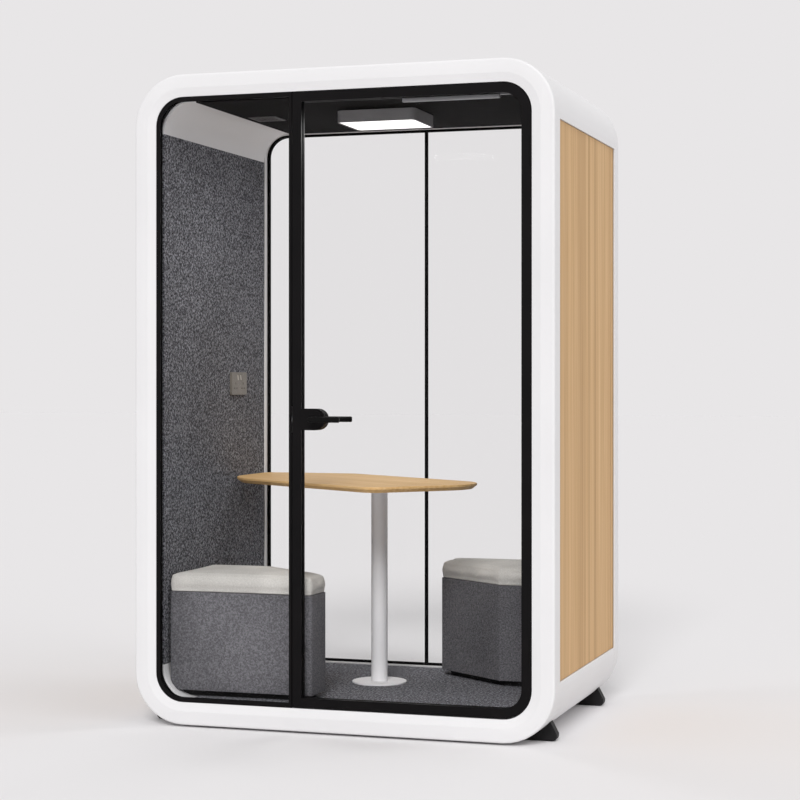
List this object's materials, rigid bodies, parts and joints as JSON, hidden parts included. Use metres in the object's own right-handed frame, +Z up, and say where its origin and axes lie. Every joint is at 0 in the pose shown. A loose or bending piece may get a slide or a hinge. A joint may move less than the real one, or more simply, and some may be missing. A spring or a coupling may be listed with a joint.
{
  "type": "acoustic office pod",
  "caption": "Rounded white acoustic office pod with oak sides, glazed front and rear, a hinged glass door, facing padded benches, an angled oak table, ceiling light, vent and socket.",
  "frame": {"origin": "centre of the bounding box on the floor", "axes": "+Z up, the glazed door faces -Y, +X to the right as seen from the front"},
  "size_m": [1.5, 1.085, 2.26],
  "materials": {
    "white_paint": "smooth satin white powder coat",
    "oak": "matt lacquered oak veneer in upright strips",
    "acoustic_wool": "pressed acoustic wool board",
    "dark_felt": "needled felt, dark grey melange",
    "seat_fabric": "woven wool, pale grey",
    "bench_fabric": "woven wool, mid grey melange",
    "dark_panel": "dark acoustic ceiling board",
    "carpet": "low loop pile carpet, dark speckle",
    "plywood": "raw plywood",
    "black_frame": "satin black powder coat",
    "black_rubber": "matt rubber",
    "clear_glass": "clear polished glass",
    "black_plastic": "fine textured black",
    "silver": "natural anodised",
    "steel": "brushed",
    "grey_housing": "matt mid grey",
    "opal": "opal diffuser",
    "warm_grey": "satin warm grey"
  },
  "bodies": {
    "pod": {"base_shell": "white_paint", "carpet": "carpet", "ceiling_panel": "dark_panel", "closer_body": "silver", "fan_housing": "black_plastic", "fixed_glass": "clear_glass", "fixed_pane_frame": "black_frame", "floor_deck": "plywood", "front_frame": "white_paint", "front_left_foot": "black_plastic", "front_right_foot": "black_plastic", "left_bench_body": "bench_fabric", "left_bench_cushion": "seat_fabric", "left_bench_plinth": "black_plastic", "left_felt_panel": "dark_felt", "left_inner_wall": "white_paint", "left_oak_panel": "oak", "left_wall_core": "acoustic_wool", "light_diffuser": "opal", "light_housing": "grey_housing", "lower_hinge": "black_frame", "lower_liner": "white_paint", "mullion": "black_frame", "rear_frame": "white_paint", "rear_gasket": "black_rubber", "rear_glass_left": "clear_glass", "rear_glass_right": "clear_glass", "rear_joint_strip": "black_rubber", "rear_left_foot": "black_plastic", "rear_right_foot": "black_plastic", "right_bench_body": "bench_fabric", "right_bench_cushion": "seat_fabric", "right_bench_plinth": "black_plastic", "right_felt_panel": "dark_felt", "right_inner_wall": "white_paint", "right_oak_panel": "oak", "right_wall_core": "acoustic_wool", "roof_shell": "white_paint", "socket_plate": "warm_grey", "strike_plate": "steel", "table_base": "white_paint", "table_column": "white_paint", "table_plate": "white_paint", "table_top": "oak", "upper_hinge": "black_frame", "upper_liner": "white_paint", "vent_grille": "black_plastic"},
    "door": {"door_frame": "black_frame", "door_glass": "clear_glass", "lock_case": "black_frame", "closer_rail": "silver"},
    "lever": {"outer_lever": "black_frame", "inner_lever": "black_frame", "lever_spindle": "steel"},
    "latch": {"latch_bolt": "steel"},
    "closer_arm_body": {"closer_arm": "silver"},
    "closer_slider_body": {"closer_slider": "black_plastic"},
    "fan": {"fan_rotor": "black_plastic"},
    "front_switch": {"front_rocker": "warm_grey"},
    "rear_switch": {"rear_rocker": "warm_grey"}
  },
  "joints": [
    {"name": "door_swing", "type": "hinge", "parent": "pod", "child": "door", "pos_m": [0.6675, -0.491, 1.13], "axis": [0, 0, 1], "range_deg": [0, 95], "stiffness_Nm_per_rad": 4, "springref_deg": -5.73},
    {"name": "lever_turn", "type": "hinge", "parent": "door", "child": "lever", "pos_m": [-0.0825, -0.4735, 1.067], "axis": [0, 1, 0], "range_deg": [0, 40], "stiffness_Nm_per_rad": 1.5, "springref_deg": -28.65},
    {"name": "latch_slide", "type": "slide", "parent": "door", "child": "latch", "axis": [1, 0, 0], "range_m": [0, 0.007]},
    {"name": "closer_arm_swing", "type": "hinge", "parent": "pod", "child": "closer_arm_body", "pos_m": [0.5885, -0.4195, 2.151], "axis": [0, 0, 1], "range_deg": [0, 95.5]},
    {"name": "closer_slide", "type": "slide", "parent": "door", "child": "closer_slider_body", "axis": [1, 0, 0], "range_m": [0, 0.1578]},
    {"name": "fan_spin", "type": "hinge", "parent": "pod", "child": "fan", "pos_m": [-0.462, 0.0225, 2.2], "axis": [0, 0, 1], "continuous": true},
    {"name": "front_switch_rock", "type": "hinge", "parent": "pod", "child": "front_switch", "pos_m": [-0.6557, 0.2025, 1.21], "axis": [0, 1, 0], "range_deg": [0, 12]},
    {"name": "rear_switch_rock", "type": "hinge", "parent": "pod", "child": "rear_switch", "pos_m": [-0.6557, 0.2305, 1.21], "axis": [0, 1, 0], "range_deg": [0, 12]}
  ],
  "couplings": [
    {"joint": "latch_slide", "follows": "lever_turn", "m_per_rad": 0.01},
    {"joint": "closer_arm_swing", "follows": "door_swing", "ratio": 1.0017},
    {"joint": "closer_slide", "follows": "door_swing", "m_per_rad": 0.094805}
  ]
}
